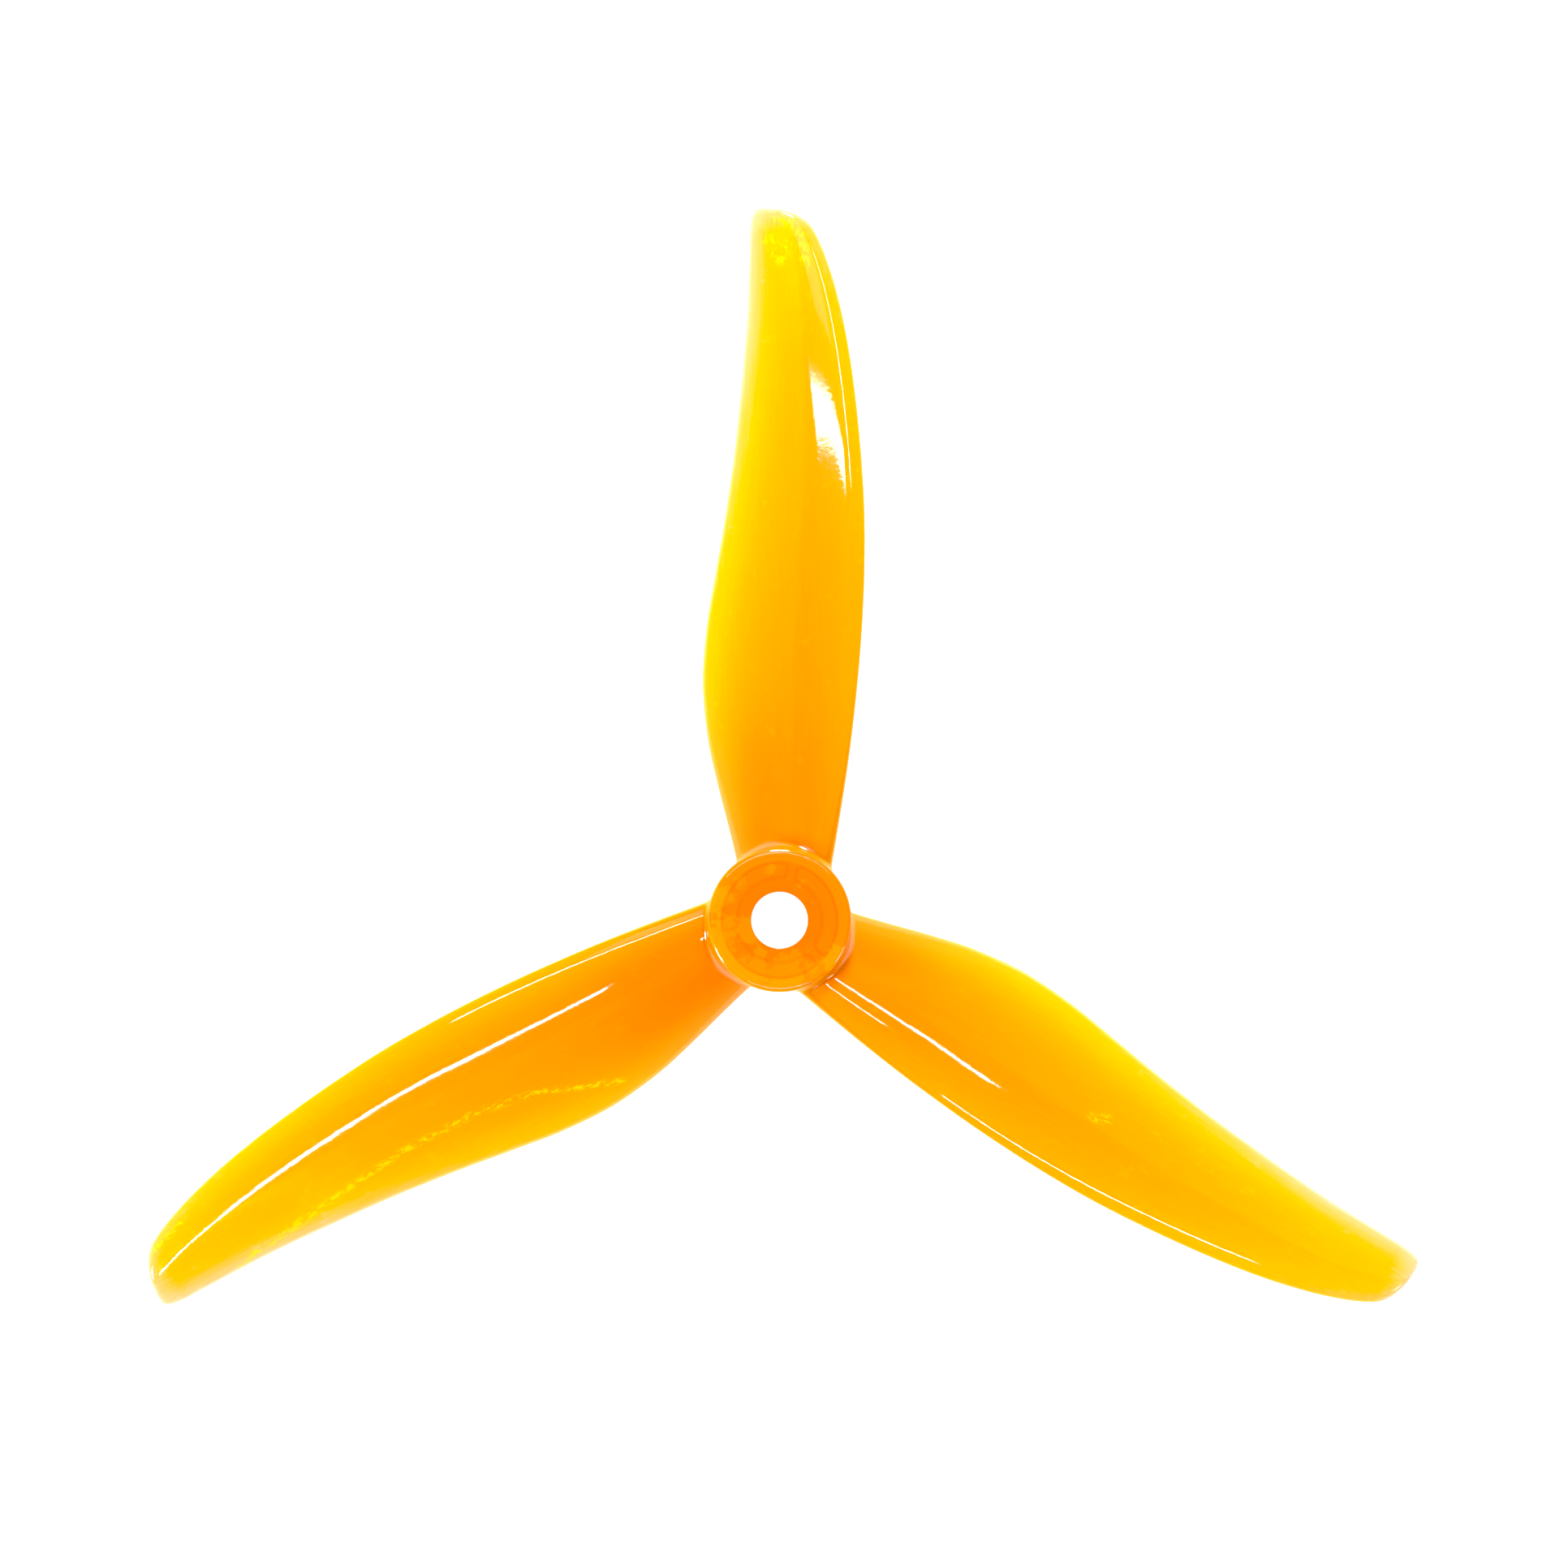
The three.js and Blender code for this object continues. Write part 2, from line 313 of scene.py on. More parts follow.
def loop_places():
    """Around a section: the trailing edge, the upper face, the nose, then the lower face."""
    turn = np.pi * np.arange(2 * CHORD_STEPS) / CHORD_STEPS
    return (1 + np.cos(turn)) / 2, np.where(np.arange(2 * CHORD_STEPS) <= CHORD_STEPS, 1, -1)


def heights_at_radius(radius, v, side):
    """The height y at which each line of the skin is at its distance from the spin axis."""
    low = np.full(len(v), 0.5)
    high = radius.copy()
    for _ in range(50):
        middle = (low + high) / 2
        p = skin_points(middle, v, side)
        inside = np.hypot(p[:, 0], p[:, 1]) < radius
        low = np.where(inside, middle, low)
        high = np.where(inside, high, middle)
    return (low + high) / 2


def unit(vectors):
    return vectors / np.linalg.norm(vectors, axis=-1, keepdims=True)


def blade_rows():
    """Rows of skin points from the hub's wall out to the tip, and how deep the plastic looks at
    each, with painted shade added.
    """
    v, side = loop_places()
    more = np.where(side > 0, UPPER_FILLET_MORE, LOWER_FILLET_MORE)
    fillet = ROOT_FILLET + more * v * ((1 - v) * np.sin(np.pi * v)) ** 2
    rows, depths = [], []
    for turn in np.linspace(0, np.pi / 2, FILLET_ROWS, endpoint=False):
        radius = HUB_RADIUS + fillet * (1 - np.cos(turn))
        flare = fillet * (1 - np.sin(turn))
        y = heights_at_radius(radius, v, side)
        p = skin_points(y, v, side)
        run = np.roll(p, -1, axis=0) - np.roll(p, 1, axis=0)
        out = np.stack([-run[:, 2], 0 * run[:, 0], run[:, 0]], -1)
        radial = unit(p * (1, 1, 0))
        out = unit(out - radial * np.sum(out * radial, axis=1, keepdims=True))
        p = p + flare[:, None] * out
        p[:, :2] *= (radius / np.hypot(p[:, 0], p[:, 1]))[:, None]
        rows.append(p)
        depths.append(depth_and_painted_light_at(y, v))
    start = heights_at_radius(HUB_RADIUS + fillet, v, side)
    for share in np.sin(np.linspace(0, np.pi / 2, SPAN_ROWS, endpoint=False)):
        y = start + (APEX[1] - start) * share
        rows.append(skin_points(y, v, side))
        depths.append(depth_and_painted_light_at(y, v))
    return np.array(rows), np.array(depths)


# ---------------------------------------------------------------------------------------------
# The hub's wall between two blades, unrolled. (angle from the blade's axis towards +X) x height.

SECTOR = 2 * math.pi / BLADE_COUNT
SEAM_ANGLE = 43 * 2 * math.pi / RING_STEPS
WALL_LOW = HUB_BOTTOM + BOTTOM_ROUND
WALL_HIGH = HUB_TOP - TOP_ROUND


def inside_loop(points, loop):
    """Which points lie inside a closed outline."""
    x, y = points[:, None, 0], points[:, None, 1]
    ax, ay = loop[:, 0], loop[:, 1]
    bx, by = np.roll(ax, -1), np.roll(ay, -1)
    straddles = (ay > y) != (by > y)
    cross = (bx - ax) * (y - ay) / np.where(by == ay, 1, by - ay) + ax
    return np.sum(straddles & (x < cross), axis=1) % 2 == 1


def wall_sector(root_loop):
    """The wall of one blade's third of the hub: vertices (angle, height), the triangles of bare
    wall, and the triangles inside the blade's root. The root loop is the first run of vertices."""
    steps = RING_STEPS // BLADE_COUNT
    left, right = SEAM_ANGLE - SECTOR, SEAM_ANGLE
    columns = np.linspace(left, right, steps + 1)
    levels = np.linspace(WALL_LOW, WALL_HIGH, round((WALL_HIGH - WALL_LOW) / WALL_SPACING) + 1)
    rim = [(a, WALL_LOW) for a in columns]
    rim += [(right, z) for z in levels[1:]]
    rim += [(a, WALL_HIGH) for a in columns[-2::-1]]
    rim += [(left, z) for z in levels[-2:0:-1]]
    rim = np.array(rim)
    inner = np.array([(a, z) for a in columns[1:-1:2] for z in levels[1:-1]])
    flat = (HUB_RADIUS, 1)
    near = np.min(np.linalg.norm((inner[:, None] - root_loop) * flat, axis=2), axis=1)
    inner = inner[near > WALL_SPACING / 2]
    points = np.vstack([root_loop, rim, inner])
    n, m = len(root_loop), len(rim)
    edges = [(k, (k + 1) % n) for k in range(n)] + [(n + k, n + (k + 1) % m) for k in range(m)]
    cut = delaunay_2d_cdt([Vector(p) for p in points * flat], edges, [], 1, 1e-7)
    triangles = np.array([[cut[3][k][0] for k in face] for face in cut[2]])
    a, b, c = (points[triangles[:, k]] for k in range(3))
    area = np.cross(b - a, c - a)
    triangles[area < 0] = triangles[area < 0][:, ::-1]
    in_root = inside_loop((a + b + c) / 3, root_loop)
    return points, triangles[~in_root], triangles[in_root]


def on_wall(points):
    """(angle, height) to a place on the hub's wall."""
    angle, z = points[:, 0], points[:, 1]
    return np.stack([HUB_RADIUS * np.sin(angle), HUB_RADIUS * np.cos(angle), z], -1)


def turned(points, k):
    """Points turned from blade_1's place to that of the kth blade, anticlockwise."""
    angle = k * SECTOR
    c, s = math.cos(angle), math.sin(angle)
    return points @ np.array([(c, s, 0), (-s, c, 0), (0, 0, 1)])


# ---------------------------------------------------------------------------------------------
# Meshes

AMBER, INTERFACE = 0, 1


def shell_object(name, points, faces, materials, normals, thickness, places, painted_reflections, looks):
    """A smooth closed mesh with its own normals. Each vertex knows how deep the plastic looks there,
    painted shade and light included, its place as if its blade were blade_1, and how strong the
    painted reflections are there."""
    mesh = bpy.data.meshes.new(name)
    mesh.from_pydata((points * MM).tolist(), [], [list(map(int, f)) for f in faces])
    mesh.polygons.foreach_set("material_index", materials)
    mesh.polygons.foreach_set("use_smooth", [True] * len(faces))
    for attribute_name, values in (("thickness", thickness), ("painted_reflections", painted_reflections)):
        attribute = mesh.attributes.new(attribute_name, "FLOAT", "POINT")
        attribute.data.foreach_set("value", np.array(values, np.float32))
    attribute = mesh.attributes.new("place", "FLOAT_VECTOR", "POINT")
    attribute.data.foreach_set("vector", np.array(places, np.float32).ravel())
    for material in looks:
        mesh.materials.append(material)
    mesh.normals_split_custom_set_from_vertices(normals.tolist())
    obj = bpy.data.objects.new(name, mesh)
    bpy.context.scene.collection.objects.link(obj)
    return obj


def area_normals(points, faces):
    """Each vertex's normal, from the faces round it."""
    fans = np.array([(f[0], f[k], f[k + 1]) for f in faces for k in range(1, len(f) - 1)])
    a, b, c = (points[fans[:, k]] for k in range(3))
    across = np.cross(b - a, c - a)
    normals = np.zeros_like(points)
    for k in range(3):
        np.add.at(normals, fans[:, k], across)
    lengths = np.linalg.norm(normals, axis=1, keepdims=True)
    return normals / np.where(lengths == 0, 1, lengths)


def ring_faces(rows, n, first=0):
    """Quads over rows of n points, each row closed on itself."""
    faces = []
    for k in range(rows - 1):
        for i in range(n):
            a = first + k * n + i
            b = first + k * n + (i + 1) % n
            faces.append([a, b, b + n, a + n])
    return faces


def painted_reflections_at(k, points):
    """How strongly the kth blade shows painted reflections at each point, seen from above."""
    strength = np.zeros(len(points))
    for blade, reach, line in PAINTED_REFLECTIONS:
        if blade != k:
            continue
        for start, end in zip(np.array(line[:-1]), np.array(line[1:])):
            run = end - start
            share = np.clip((points[:, :2] - start) @ run / (run @ run), 0, 1)
            away = np.linalg.norm(points[:, :2] - start - share[:, None] * run, axis=1)
            strength = np.maximum(strength, np.exp(-((away / reach) ** 2)))
    return strength


def make_blade(k, rows, depths_and_painted_light, patch_points, patch_triangles, looks):
    """The kth blade: its skin, and the patch that closes it against the hub's wall."""
    n = rows.shape[1]
    tip = skin_points(np.array([APEX[1]]), np.array([0.5]), np.array([1]))
    skin = np.vstack([rows.reshape(-1, 3), tip])
    faces = ring_faces(len(rows), n)
    last = (len(rows) - 1) * n
    faces += [[last + i, last + (i + 1) % n, last + n] for i in range(n)]
    normals = area_normals(skin, faces)
    normals[:n] = unit(skin[:n] * (1, 1, 0))

    extra = np.unique(patch_triangles[patch_triangles >= n])
    numbers = {old: len(skin) + i for i, old in enumerate(extra)}
    numbers.update({i: i for i in range(n)})
    inner = on_wall(patch_points[extra])
    patch = [[numbers[int(v)] for v in reversed(t)] for t in patch_triangles]
    points = np.vstack([skin, inner])
    normals = np.vstack([normals, unit(inner * (-1, -1, 0))])
    thickness = np.concatenate([depths_and_painted_light.ravel(), [TIP_DEPTH], np.full(len(inner), ROOT_DEPTH)])
    materials = [AMBER] * len(faces) + [INTERFACE] * len(patch)
    name = f"blade_{k + 1}"
    piece = shell_object(
        name + "_moulding",
        turned(points, k),
        faces + patch,
        materials,
        turned(normals, k),
        thickness,
        points,
        painted_reflections_at(k, points),
        looks,
    )
    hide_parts(name)
    return piece


class Patchwork:
    """Collects parts of one closed mesh and joins them where their vertices meet."""

    def __init__(self):
        self.points = []
        self.faces = []
        self.materials = []
        self.thickness = []
        self.index = {}

    def vertex(self, p, thickness):
        key = tuple(np.round(p, 4) + 0.0)
        if key not in self.index:
            self.index[key] = len(self.points)
            self.points.append(p)
            self.thickness.append(thickness)
        return self.index[key]

    def add(self, points, faces, thickness, material=AMBER):
        thickness = np.broadcast_to(thickness, len(points))
        used = [self.vertex(p, t) for p, t in zip(points, thickness)]
        for face in faces:
            corners = [used[v] for v in face]
            self.faces.append(corners)
            self.materials.append(material)


def round_profile(r, z, radius, start):
    """A quarter-round of (radius, height) points, from a direction in degrees to 90 more."""
    turn = np.radians(np.linspace(start, start + 90, ROUND_STEPS + 1))
    return [(r + radius * math.cos(a), z + radius * math.sin(a)) for a in turn]


def lathe(work, profile, thickness):
    """A band turned round the spin axis from a profile listed from the outside bottom upwards."""
    angle = SEAM_ANGLE + 2 * np.pi * np.arange(RING_STEPS) / RING_STEPS
    rows = [
        np.stack([r * np.sin(angle), r * np.cos(angle), np.full(RING_STEPS, z)], -1)
        for r, z in profile
    ]
    faces = [f[::-1] for f in ring_faces(len(profile), RING_STEPS)]
    work.add(np.vstack(rows), faces, np.repeat(thickness, RING_STEPS))


def pocket_outline(inset):
    """One pocket between two ribs, seen from above, shrunk by inset. Its point count is fixed."""
    corner = POCKET_CORNER - inset
    half_rib = RIB_THICKNESS / 2 + inset
    outer = POCKET_RADIUS - inset
    inner = BOSS_RADIUS + inset
    reach = np.radians(360 / RIB_COUNT)
    arc_steps, corner_steps, side_steps = 36, 8, 4
    out_centre = math.asin((half_rib + corner) / (outer - corner))
    in_centre = math.asin((half_rib + corner) / (inner + corner))

    def polar(r, a):
        return np.stack([r * np.cos(a), r * np.sin(a)], -1)

    def round_corner(radius, angle, start, sweep):
        turn = np.radians(np.linspace(start, start + sweep, corner_steps + 1))
        centre = polar(np.array([radius]), np.array([angle]))
        return centre + polar(np.full(corner_steps + 1, corner), turn)

    deg = math.degrees
    near_out = round_corner(outer - corner, out_centre, -90, 90 + deg(out_centre))
    arc_out = polar(outer, np.linspace(out_centre, reach - out_centre, arc_steps + 1))
    far_out = round_corner(
        outer - corner,
        reach - out_centre,
        deg(reach - out_centre),
        90 + deg(out_centre),
    )
    far_in = round_corner(
        inner + corner,
        reach - in_centre,
        deg(reach) + 90,
        90 - deg(in_centre),
    )
    arc_in = polar(inner, np.linspace(reach - in_centre, in_centre, arc_steps + 1))
    near_in = round_corner(inner + corner, in_centre, 180 + deg(in_centre), 90 - deg(in_centre))

    def side(a, b):
        share = np.linspace(0, 1, side_steps + 1)[1:-1, None]
        return a + (b - a) * share

    path = [
        near_out,
        arc_out[1:-1],
        far_out,
        side(far_out[-1], far_in[0]),
        far_in,
        arc_in[1:-1],
        near_in,
        side(near_in[-1], near_out[0]),
    ]
    return np.vstack(path)


def flat_fill(outlines, holes):
    """Triangles, anticlockwise, over the area inside the first outline and outside the holes."""
    loops = outlines + holes
    points = np.vstack(loops)
    edges, first = [], 0
    for loop in loops:
        edges += [(first + k, first + (k + 1) % len(loop)) for k in range(len(loop))]
        first += len(loop)
    cut = delaunay_2d_cdt([Vector(p) for p in points], edges, [], 1, 1e-7)
    triangles = np.array([[cut[3][k][0] for k in face] for face in cut[2]])
    a, b, c = (points[triangles[:, k]] for k in range(3))
    area = np.cross(b - a, c - a)
    triangles[area < 0] = triangles[area < 0][:, ::-1]
    centre = (a + b + c) / 3
    keep = inside_loop(centre, outlines[0])
    for hole in holes:
        keep &= ~inside_loop(centre, hole)
    return points, triangles[keep]


def raised(flat, z):
    return np.column_stack([flat, np.full(len(flat), z)])


def ring_circle(r):
    angle = SEAM_ANGLE + 2 * np.pi * np.arange(RING_STEPS) / RING_STEPS
    return np.stack([r * np.sin(angle), r * np.cos(angle)], -1)[::-1]


def make_hub(sector_points, bare, patch, looks):
    """The hub: wall, deck, bore, and the three pockets under the deck that leave the ribs."""
    work = Patchwork()
    places = on_wall(sector_points)
    for k in range(BLADE_COUNT):
        # Angle runs clockwise seen from above, so these triangles are turned over to face out.
        work.add(turned(places, k), bare[:, ::-1], WALL_DEPTH)
        work.add(turned(places, k), patch[:, ::-1], WALL_DEPTH, INTERFACE)

    stretch = TOP_REACH / TOP_ROUND
    top = [
        (HUB_RADIUS - TOP_REACH + r * stretch, z)
        for r, z in round_profile(0, WALL_HIGH, TOP_ROUND, 0)
    ]
    lip = BORE_RADIUS + BORE_LEAD_IN
    # Closer together where the deck's colour steps, over the pocket's wall and the boss.
    deck_rings = [HUB_RADIUS - TOP_REACH - 0.04, 5.7, 5.64, 5.58, 5.3, 5.1, 4.6, 3.9]
    deck_rings += [3.76, 3.69, 3.62, 3.55, 3.3, lip + 0.04]
    lead_in = round_profile(lip, HUB_TOP - BORE_LEAD_IN, BORE_LEAD_IN, 90)
    bore_top, bore_bottom = HUB_TOP - BORE_LEAD_IN, HUB_BOTTOM + BORE_LEAD_IN
    bore = [(BORE_RADIUS, z) for z in np.linspace(bore_top, bore_bottom, BORE_ROWS)]
    lead_out = round_profile(lip, HUB_BOTTOM + BORE_LEAD_IN, BORE_LEAD_IN, 180)
    profile = top + [(r, HUB_TOP) for r in deck_rings] + lead_in + bore[1:-1] + lead_out
    radii = np.array([r for r, _ in profile])
    thickness = np.interp(radii, *zip(*DECK_DEPTHS_AND_LIGHT))
    lathe(work, profile, thickness)

    foot = round_profile(HUB_RADIUS - BOTTOM_ROUND, WALL_LOW, BOTTOM_ROUND, -90)
    lathe(work, foot, np.full(len(foot), WALL_DEPTH))

    outer = ring_circle(HUB_RADIUS - BOTTOM_ROUND)
    bore_ring = ring_circle(lip)
    mouths = []
    for k in range(RIB_COUNT):
        angle = RIB_AZIMUTH + 2 * math.pi * k / RIB_COUNT
        c, s = math.cos(angle), math.sin(angle)
        spin = np.array([(c, s), (-s, c)])
        mouths.append(pocket_outline(-POCKET_LIP) @ spin)
        levels = [
            (-POCKET_LIP * (1 - math.sin(a)), HUB_BOTTOM + POCKET_LIP * (1 - math.cos(a)))
            for a in np.linspace(0, np.pi / 2, 4)
        ]
        walls = np.linspace(HUB_BOTTOM + POCKET_LIP, DECK_UNDERSIDE - POCKET_FLOOR_ROUND, 8)
        levels += [(0, z) for z in walls[1:]]
        levels += [
            (
                POCKET_FLOOR_ROUND * (1 - math.cos(a)),
                DECK_UNDERSIDE - POCKET_FLOOR_ROUND * (1 - math.sin(a)),
            )
            for a in np.linspace(0, np.pi / 2, 6)[1:]
        ]
        rows = [raised(pocket_outline(inset) @ spin, z) for inset, z in levels]
        n = len(rows[0])
        faces = [f[::-1] for f in ring_faces(len(rows), n)]
        work.add(np.vstack(rows), faces, POCKET_DEPTH)
        floor, triangles = flat_fill([rows[-1][:, :2]], [])
        work.add(raised(floor, DECK_UNDERSIDE), triangles[:, ::-1], POCKET_DEPTH)
    base, triangles = flat_fill([outer], [bore_ring] + mouths)
    work.add(raised(base, HUB_BOTTOM), triangles[:, ::-1], HUB_BASE_DEPTH)

    points = np.array(work.points)
    normals = area_normals(points, work.faces)
    radius = np.hypot(points[:, 0], points[:, 1])
    z = points[:, 2]
    wall = (np.abs(radius - HUB_RADIUS) < 1e-3) & (z > WALL_LOW - 1e-3) & (z < WALL_HIGH + 1e-3)
    normals[wall] = unit(points[wall] * (1, 1, 0))
    normals[np.abs(z - HUB_TOP) < 1e-4] = (0, 0, 1)
    normals[np.abs(z - HUB_BOTTOM) < 1e-4] = (0, 0, -1)
    hub = shell_object(
        "hub_moulding",
        points,
        work.faces,
        work.materials,
        normals,
        work.thickness,
        points,
        np.zeros(len(points)),
        looks,
    )
    ribs = [f"hub_rib_{k + 1}" for k in range(RIB_COUNT)]
    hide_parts("hub_shell", "shaft_boss", *ribs)
    return hub


# ---------------------------------------------------------------------------------------------
# Materials


class Nodes:
    """A short way to build a material's node tree."""

    def __init__(self, name):
        self.material = bpy.data.materials.new(name)
        self.material.use_nodes = True
        self.tree = self.material.node_tree
        self.tree.nodes.clear()

    def add(self, kind, inputs=None, **settings):
        node = self.tree.nodes.new(kind)
        for key, value in settings.items():
            setattr(node, key, value)
        for key, value in (inputs or {}).items():
            if isinstance(value, bpy.types.NodeSocket):
                self.tree.links.new(value, node.inputs[key])
            else:
                node.inputs[key].default_value = value
        return node

    def math(self, operation, *values):
        return self.add("ShaderNodeMath", dict(enumerate(values)), operation=operation).outputs[0]

    def noise(self, vector, scale, detail=2.0, roughness=0.5):
        node = self.add(
            "ShaderNodeTexNoise",
            {"Vector": vector, "Scale": scale, "Detail": detail, "Roughness": roughness},
        )
        return node.outputs["Fac"]

    def finish(self, shader):
        self.add("ShaderNodeOutputMaterial", {"Surface": shader})
        return self.material


# The plastic's colour against how deep it looks, in millimetres: pale where thin, amber where deep.
COLOUR_BY_DEPTH = [
    (0, (1, 0.88, 0.6)),
    (0.4, (1, 0.72, 0.36)),
    (0.7, (1, 0.62, 0.15)),
    (0.8, (1, 0.6, 0.08)),
    (0.9, (1, 0.575, 0.03)),
    (1, (1, 0.555, 0)),
    (1.2, (1, 0.51, 0)),
    (1.5, (1, 0.43, 0)),
    (1.8, (1, 0.375, 0)),
    (2.1, (1, 0.332, 0)),
    (2.4, (1, 0.287, 0)),
    (2.9, (1, 0.25, 0)),
    (3.5, (1, 0.2, 0)),
]
DEEPEST = 4
# The bright yellow of the painted reflections, light caught inside the plastic.
PAINTED_REFLECTION_COLOUR = (1, 0.88, 0, 1)
MARKS_DEPTH = 0.35
UNDERSIDE_ROUGHNESS = 0.12
UNDERSIDE_WAVES = 3
# Scale, the noise that the patches start from, their share of the depth, and their lean. The patches
# are lighter; on the blades they are painted reflections of light caught inside the plastic, gathering
# towards the tip.
HUB_LIGHTER_PATCHES = (0.35, 0.52, 0.26, (-0.012, -0.022, 0))
BLADE_REFLECTION_PATCHES = (0.6, 0.66, 0.12, (0, 0.001, 0))
PATCH_SOFTNESS = 0.06


def colour_of_depth(n, depth):
    ramp = n.add("ShaderNodeValToRGB", {"Fac": n.math("DIVIDE", depth, DEEPEST)})
    stops = ramp.color_ramp.elements
    for stop, (at, colour) in zip(stops, (COLOUR_BY_DEPTH[0], COLOUR_BY_DEPTH[-1])):
        stop.position, stop.color = at / DEEPEST, (*colour, 1)
    for at, colour in COLOUR_BY_DEPTH[1:-1]:
        stops.new(at / DEEPEST).color = (*colour, 1)
    return ramp.outputs["Color"]


def amber_plastic(name, along, transmission, roughness, lighter_patches):
    """The clear amber plastic. Its polishing marks run out along each blade, drawn out by along.

    transmission is how clear it is where steep and where level, and roughness its two ends. The last
    argument sets the patches that look thinner: their scale, the noise they start from, the share of
    the depth that they take off, and the way they gather. On the blades they are painted reflections
    of light caught inside the plastic."""
    n = Nodes(name)
    place = n.add("ShaderNodeAttribute", attribute_name="place").outputs["Vector"]
    thickness = n.add("ShaderNodeAttribute", attribute_name="thickness").outputs["Fac"]
    drawn_out = n.add("ShaderNodeMapping", {"Vector": place, "Scale": (1, 1 / along, 1)})
    marks = n.noise(drawn_out.outputs["Vector"], 5, 3)
    grain = n.noise(place, 3, 3)
    # Lighter patches; on the blades these are painted reflections of light caught inside the plastic.
    patch_scale, patch_start, patch_lightening, lean = lighter_patches
    own_place = n.add("ShaderNodeTexCoord").outputs["Object"]
    patches = n.noise(own_place, patch_scale / MM, 4, 0.6)
    leaning = n.add("ShaderNodeVectorMath", {0: place, 1: lean}, operation="DOT_PRODUCT")
    patches = n.math("ADD", patches, leaning.outputs["Value"])
    patchy = n.add(
        "ShaderNodeMapRange",
        {
            "Value": patches,
            "From Min": patch_start,
            "From Max": patch_start + PATCH_SOFTNESS,
            "To Min": 1,
            "To Max": 1 - patch_lightening,
        },
    )
    share = patchy.outputs["Result"]
    depth = n.math("MULTIPLY", thickness, share)
    depth = n.math("MULTIPLY_ADD", n.math("SUBTRACT", marks, 0.5), MARKS_DEPTH, depth)

    # Painted reflections: bright yellow flecks along the listed lines, standing in for light caught
    # inside the plastic.
    painted_reflections = n.add("ShaderNodeAttribute", attribute_name="painted_reflections").outputs["Fac"]
    torn = n.add("ShaderNodeMapping", {"Vector": place, "Scale": (1, 0.4, 1)}).outputs["Vector"]
    reflection_flecks = n.noise(torn, 3.2, 5, 0.7)
    reflection_flecks = n.add("ShaderNodeMapRange", {"Value": reflection_flecks, "From Min": 0.5, "From Max": 0.55})
    colour = n.add(
        "ShaderNodeMix",
        {
            0: n.math("MULTIPLY", reflection_flecks.outputs["Result"], painted_reflections),
            6: colour_of_depth(n, depth),
            7: PAINTED_REFLECTION_COLOUR,
        },
        data_type="RGBA",
    )

    facing = n.add("ShaderNodeTexCoord").outputs["Normal"]
    up = n.add("ShaderNodeSeparateXYZ", {0: facing}).outputs["Z"]
    steep, level = transmission
    clear = n.add(
        "ShaderNodeMapRange",
        {
            "Value": n.math("ABSOLUTE", up),
            "From Min": 0.6,
            "From Max": 0.95,
            "To Min": steep,
            "To Max": level,
        },
    )
    under = n.add("ShaderNodeMapRange", {"Value": up, "From Min": 0.1, "From Max": -0.1})
    under = under.outputs["Result"]
    low, high = roughness
    polish = n.add("ShaderNodeMapRange", {"Value": grain, "To Min": low, "To Max": high})
    rough = n.math("MULTIPLY_ADD", under, UNDERSIDE_ROUGHNESS, polish.outputs["Result"])
    waves = n.math("MULTIPLY_ADD", grain, 0.6, n.math("MULTIPLY", marks, 0.3))
    swell = n.math("MULTIPLY_ADD", under, UNDERSIDE_WAVES, 1)
    bump = n.add(
        "ShaderNodeBump",
        {"Height": n.math("MULTIPLY", waves, swell), "Strength": 0.15, "Distance": 0.00002},
    )
    shader = n.add(
        "ShaderNodeBsdfPrincipled",
        {
            "Base Color": colour.outputs[2],
            "Roughness": rough,
            "Normal": bump.outputs["Normal"],
            "IOR": 1.585,
            "Transmission Weight": clear.outputs["Result"],
        },
    )
    return n.finish(shader.outputs["BSDF"])


def moulded_as_one():
    """The faces where a blade and the hub meet inside the plastic: nothing shows there."""
    n = Nodes("moulded_as_one")
    clear = n.add("ShaderNodeBsdfTransparent", {"Color": (1, 1, 1, 1)})
    return n.finish(clear.outputs["BSDF"])


def studio_floor():
    n = Nodes("studio_floor")
    shader = n.add(
        "ShaderNodeBsdfPrincipled",
        {
            "Base Color": (0.1, 0.1, 0.1, 1),
            "Roughness": 0.6,
            "Specular IOR Level": 0.2,
            "Emission Color": (1, 1, 1, 1),
            "Emission Strength": 1.5,
        },
    )
    return n.finish(shader.outputs["BSDF"])


# ---------------------------------------------------------------------------------------------
# Studio


def strip_light(name, centre, direction, length, width, strength):
    """A long thin lamp overhead, along a direction in the plan, turned to the hub. Millimetres."""
    data = bpy.data.lights.new(name, "AREA")
    data.shape = "RECTANGLE"
    data.size = length * MM
    data.size_y = width * MM
    data.energy = strength * (length * MM) * (width * MM) * math.pi
    lamp = bpy.data.objects.new(name, data)
    back = Vector(centre).normalized()
    across = Vector((math.cos(direction), math.sin(direction), 0))
    across = (across - back * across.dot(back)).normalized()
    up = back.cross(across)
    turn = Matrix((across, up, back)).transposed()
    lamp.matrix_world = Matrix.Translation(Vector(centre) * MM) @ turn.to_4x4()
    bpy.context.scene.collection.objects.link(lamp)
    return lamp


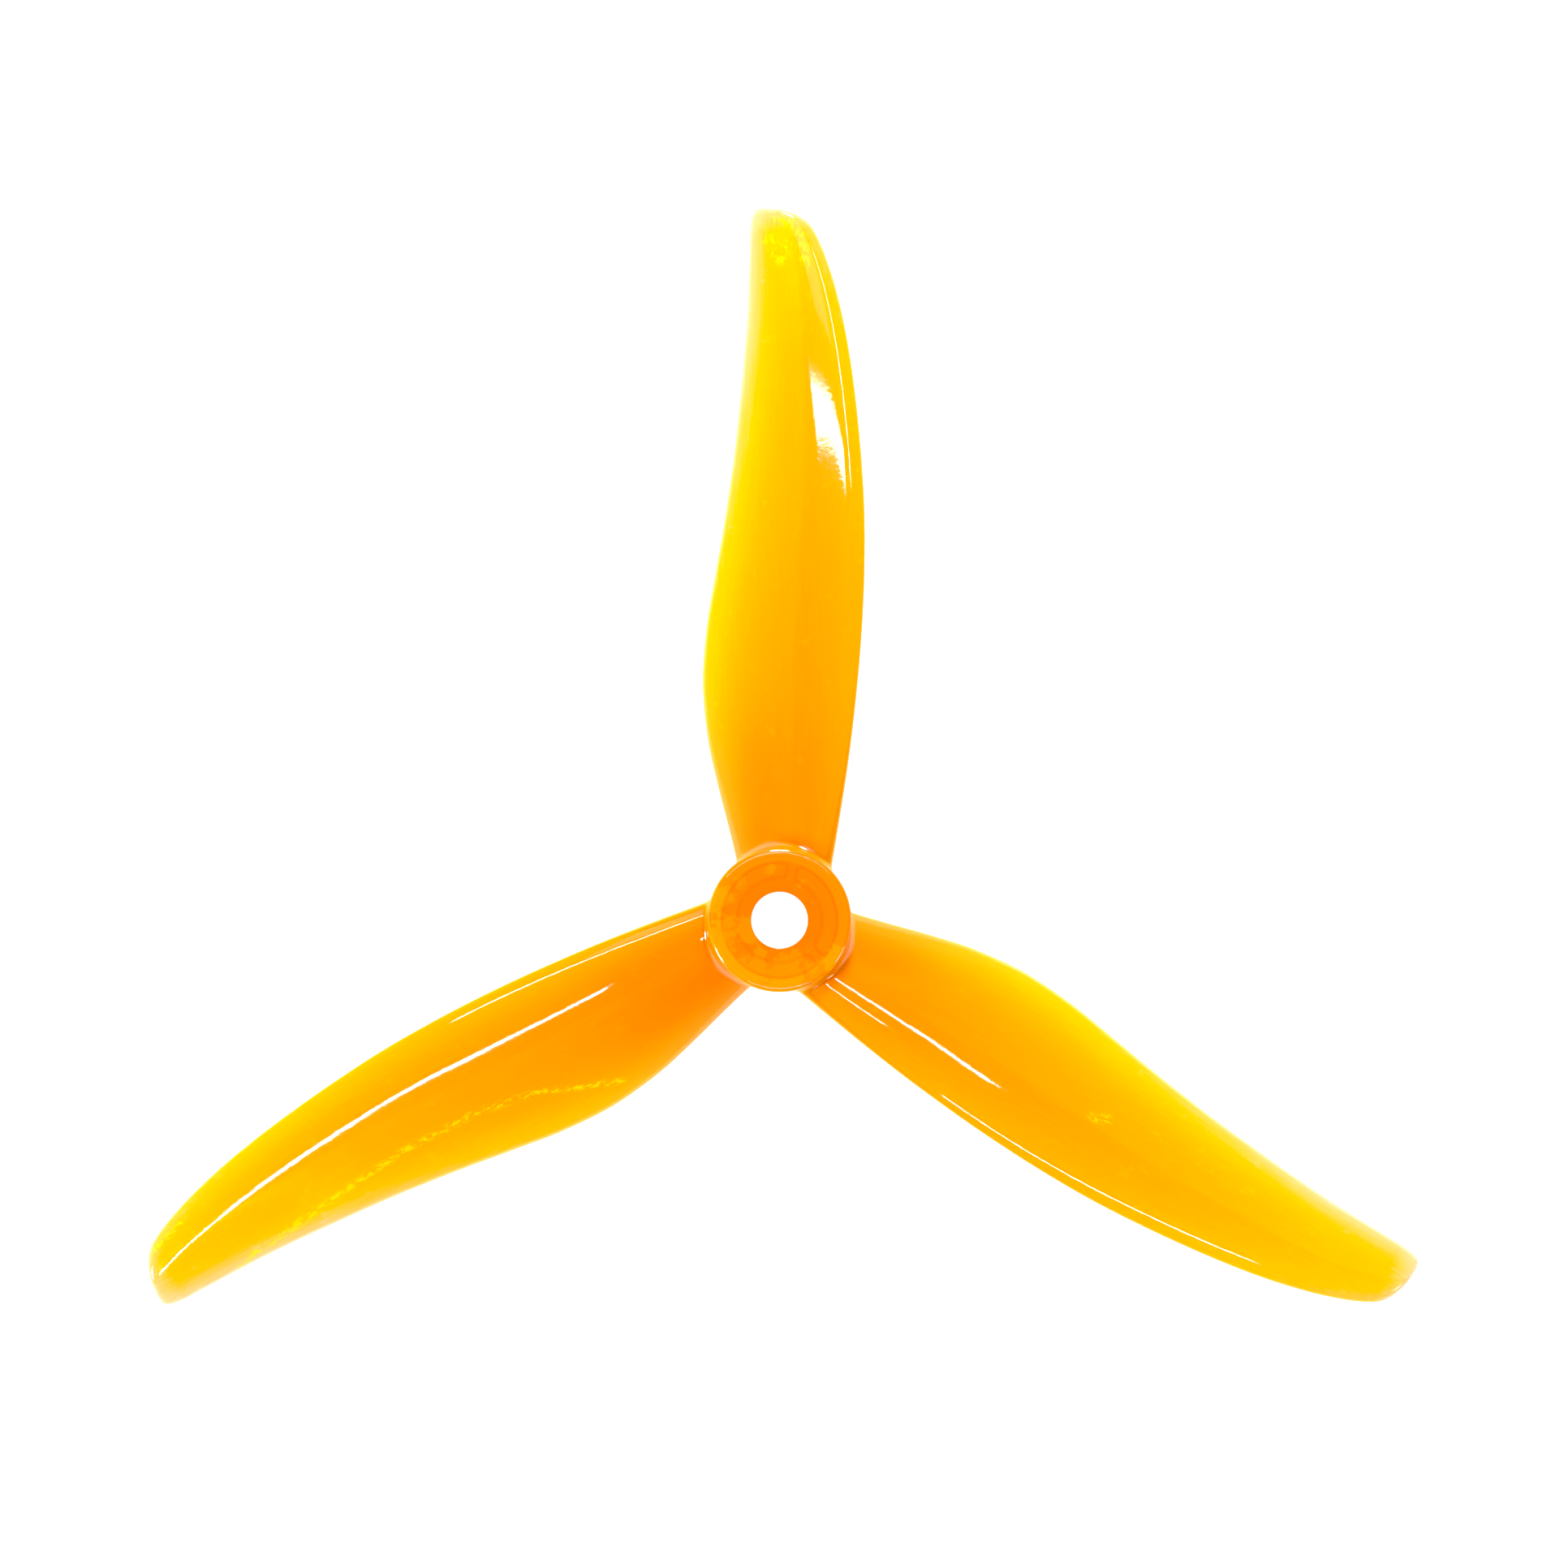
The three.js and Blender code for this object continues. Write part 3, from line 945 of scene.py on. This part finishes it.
def studio():
    mesh = bpy.data.meshes.new("floor")
    half, z = FLOOR_SIZE / 2, HUB_BOTTOM - FLOOR_GAP
    corners = [(-half, -half, z), (half, -half, z), (half, half, z), (-half, half, z)]
    mesh.from_pydata([Vector(corner) * MM for corner in corners], [], [(0, 1, 2, 3)])
    mesh.materials.append(studio_floor())
    floor = bpy.data.objects.new("floor", mesh)
    bpy.context.scene.collection.objects.link(floor)

    # Strengths are radiances: what each lamp looks like beside a white of 1.
    strip_light("strip_front", (-2, -398, 600), 0, 395, 15, 48)
    strip_light("strip_back", (-84, 252, 600), math.radians(-3), 432, 25, 22)
    strip_light("strip_right", (243, 370, 600), math.radians(107), 240, 16, 36)
    strip_light("pale_panel", (-50, 470, 600), 0, 260, 280, 1.2)
    # Turned far enough from the way each blade leans to light it and not show in it.
    size = SOFT_BOX_SIZE
    for bearing, strength in SOFT_BOX_STRENGTHS.items():
        turn = math.radians(bearing)
        reach = SOFT_BOX_REACH
        centre = (reach * math.cos(turn), reach * math.sin(turn), SOFT_BOX_HEIGHT)
        strip_light(f"soft_box_{bearing}", centre, turn + math.pi / 2, size, size, strength)

    world = bpy.data.worlds.new("studio_air")
    bpy.context.scene.world = world
    world.use_nodes = True
    tree = world.node_tree
    tree.nodes.clear()
    where = tree.nodes.new("ShaderNodeTexCoord")
    split = tree.nodes.new("ShaderNodeSeparateXYZ")
    ramp = tree.nodes.new("ShaderNodeValToRGB")
    ramp.color_ramp.elements[0].position = 0.05
    ramp.color_ramp.elements[0].color = (0.6, 0.6, 0.6, 1)
    ramp.color_ramp.elements[1].position = 0.22
    ramp.color_ramp.elements[1].color = (0.4, 0.4, 0.4, 1)
    air = tree.nodes.new("ShaderNodeBackground")
    out = tree.nodes.new("ShaderNodeOutputWorld")
    tree.links.new(where.outputs["Generated"], split.inputs[0])
    tree.links.new(split.outputs["Z"], ramp.inputs["Fac"])
    tree.links.new(ramp.outputs["Color"], air.inputs["Color"])
    tree.links.new(air.outputs["Background"], out.inputs["Surface"])


def camera():
    """Straight above the hub, and turned a little towards the first blade's tip."""
    data = bpy.data.cameras.new("camera")
    data.sensor_width = 36
    data.lens = 61.5
    data.clip_start = 0.01
    obj = bpy.data.objects.new("camera", data)
    eye = Vector((0, 0, 240)) * MM
    target = Vector((0.4, 12.2, 0)) * MM
    back = (eye - target).normalized()
    right = Vector((1, 0, 0))
    right = (right - back * right.dot(back)).normalized()
    turn = Matrix((right, back.cross(right), back)).transposed()
    obj.matrix_world = Matrix.Translation(eye) @ turn.to_4x4()
    bpy.context.scene.collection.objects.link(obj)
    bpy.context.scene.camera = obj
    look = bpy.context.scene.view_settings
    look.view_transform = "Standard"
    look.use_curve_mapping = True
    look.curve_mapping.black_level = (BLACK_LEVEL, BLACK_LEVEL, BLACK_LEVEL)


# ---------------------------------------------------------------------------------------------

camera()
inside = moulded_as_one()
hub_looks = [amber_plastic("amber_hub", 1, (0.1, 0.4), (0.05, 0.12), HUB_LIGHTER_PATCHES), inside]
blade_looks = [amber_plastic("amber_blade", 24, (0.1, 0.48), (0.02, 0.06), BLADE_REFLECTION_PATCHES), inside]
rows, depths_and_painted_light = blade_rows()
root_loop = np.stack([np.arctan2(rows[0, :, 0], rows[0, :, 1]), rows[0, :, 2]], -1)
sector_points, bare_wall, root_patch = wall_sector(root_loop)
pieces = [make_hub(sector_points, bare_wall, root_patch, hub_looks)]
for blade in range(BLADE_COUNT):
    pieces.append(make_blade(blade, rows, depths_and_painted_light, sector_points, root_patch[:, ::-1], blade_looks))
for piece in pieces:
    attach(piece, "root")
studio()
